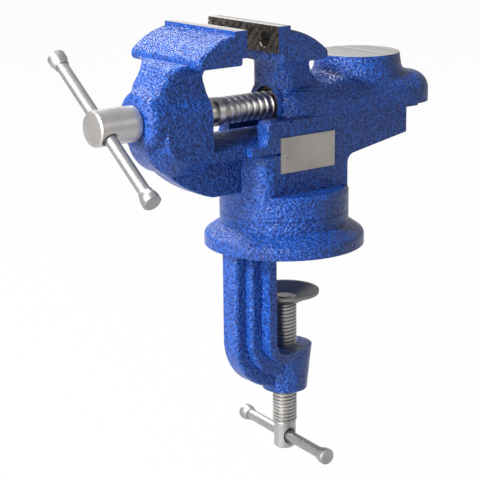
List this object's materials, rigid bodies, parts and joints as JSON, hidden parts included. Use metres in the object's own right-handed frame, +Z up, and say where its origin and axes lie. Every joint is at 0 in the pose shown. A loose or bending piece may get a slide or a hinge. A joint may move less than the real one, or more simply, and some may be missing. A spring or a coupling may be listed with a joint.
{
  "type": "clamp-on swivel bench vise",
  "caption": "Bench vise that clamps under a table edge: swivel base, screw-driven sliding front jaw, fixed rear jaw and a round anvil on the table behind it.",
  "frame": {"origin": "on the swivel axis, in the plane of the table top, which is the underside of the base flange", "axes": "+Z up along the swivel axis and the clamp screw; +X towards the anvil and -X towards the handle, along the jaw spindle; -Y is the side with the bare name plate"},
  "size_m": [0.2083, 0.094, 0.2395],
  "materials": {
    "blue_hammered_paint": "hammered enamel with machined bare faces",
    "hardened_jaw_steel": "ground, with crossed grooves",
    "screw_steel": "zinc plated",
    "turned_steel": "turned, bright",
    "bar_steel": "bright plated",
    "plate_metal": "brushed, bare",
    "nut_bronze": "turned",
    "dark_steel": "blackened"
  },
  "bodies": {
    "base": {"clamp_frame": "blue_hammered_paint"},
    "turret": {"vise_body": "blue_hammered_paint", "rear_jaw_plate": "hardened_jaw_steel", "rear_plate_screws": "screw_steel", "spindle_nut": "nut_bronze", "nut_set_screw": "dark_steel", "name_plate": "plate_metal", "name_plate_rivets": "plate_metal", "pivot_bolt": "screw_steel", "pivot_washer": "screw_steel"},
    "slider": {"moving_jaw": "blue_hammered_paint", "front_jaw_plate": "hardened_jaw_steel", "front_plate_screws": "screw_steel"},
    "jaw_spindle": {"spindle": "turned_steel", "spindle_thrust_washer": "turned_steel", "spindle_retaining_ring": "dark_steel"},
    "handle": {"handle_bar": "bar_steel", "handle_knob_far": "bar_steel", "handle_knob_near": "bar_steel"},
    "pad": {"pressure_pad": "turned_steel"},
    "clamp_screw_body": {"clamp_screw": "turned_steel", "pad_retaining_ring": "turned_steel"},
    "clamp_handle": {"clamp_bar": "bar_steel", "clamp_knob_far": "bar_steel", "clamp_knob_near": "bar_steel"},
    "lock_shoe": {"swivel_lock_shoe": "nut_bronze"},
    "lock_screw": {"swivel_lock_screw": "screw_steel", "swivel_lock_pin": "screw_steel"}
  },
  "joints": [
    {"name": "swivel", "type": "hinge", "parent": "base", "child": "turret", "pos_m": [0, 0, 0], "axis": [0, 0, 1], "continuous": true},
    {"name": "jaw_slide", "type": "slide", "parent": "turret", "child": "slider", "axis": [1, 0, 0], "range_m": [-0.03, 0.02]},
    {"name": "spindle_turn", "type": "hinge", "parent": "slider", "child": "jaw_spindle", "pos_m": [-0.1, 0, 0.076], "axis": [1, 0, 0], "range_deg": [-2700, 1800]},
    {"name": "handle_slide", "type": "slide", "parent": "jaw_spindle", "child": "handle", "axis": [0, 0.809, 0.5878], "range_m": [-0.035, 0.035]},
    {"name": "pad_slide", "type": "slide", "parent": "base", "child": "pad", "axis": [0, 0, 1], "range_m": [-0.02, 0.0225]},
    {"name": "clamp_turn", "type": "hinge", "parent": "pad", "child": "clamp_screw_body", "pos_m": [0, 0, -0.07], "axis": [0, 0, 1], "range_deg": [-3600, 4050]},
    {"name": "clamp_bar_slide", "type": "slide", "parent": "clamp_screw_body", "child": "clamp_handle", "axis": [0.0993, 0.9951, 0], "range_m": [-0.0285, 0.0285]},
    {"name": "lock_shoe_slide", "type": "slide", "parent": "base", "child": "lock_shoe", "axis": [0, -1, 0], "range_m": [-0.001, 0.00025]},
    {"name": "lock_turn", "type": "hinge", "parent": "lock_shoe", "child": "lock_screw", "pos_m": [0, 0.03, 0.0146], "axis": [0, -1, 0], "range_deg": [-360, 90]}
  ],
  "couplings": [
    {"joint": "spindle_turn", "follows": "jaw_slide", "rad_per_m": 1570.8},
    {"joint": "clamp_turn", "follows": "pad_slide", "rad_per_m": 3141.6},
    {"joint": "lock_turn", "follows": "lock_shoe_slide", "rad_per_m": 6283.2}
  ]
}
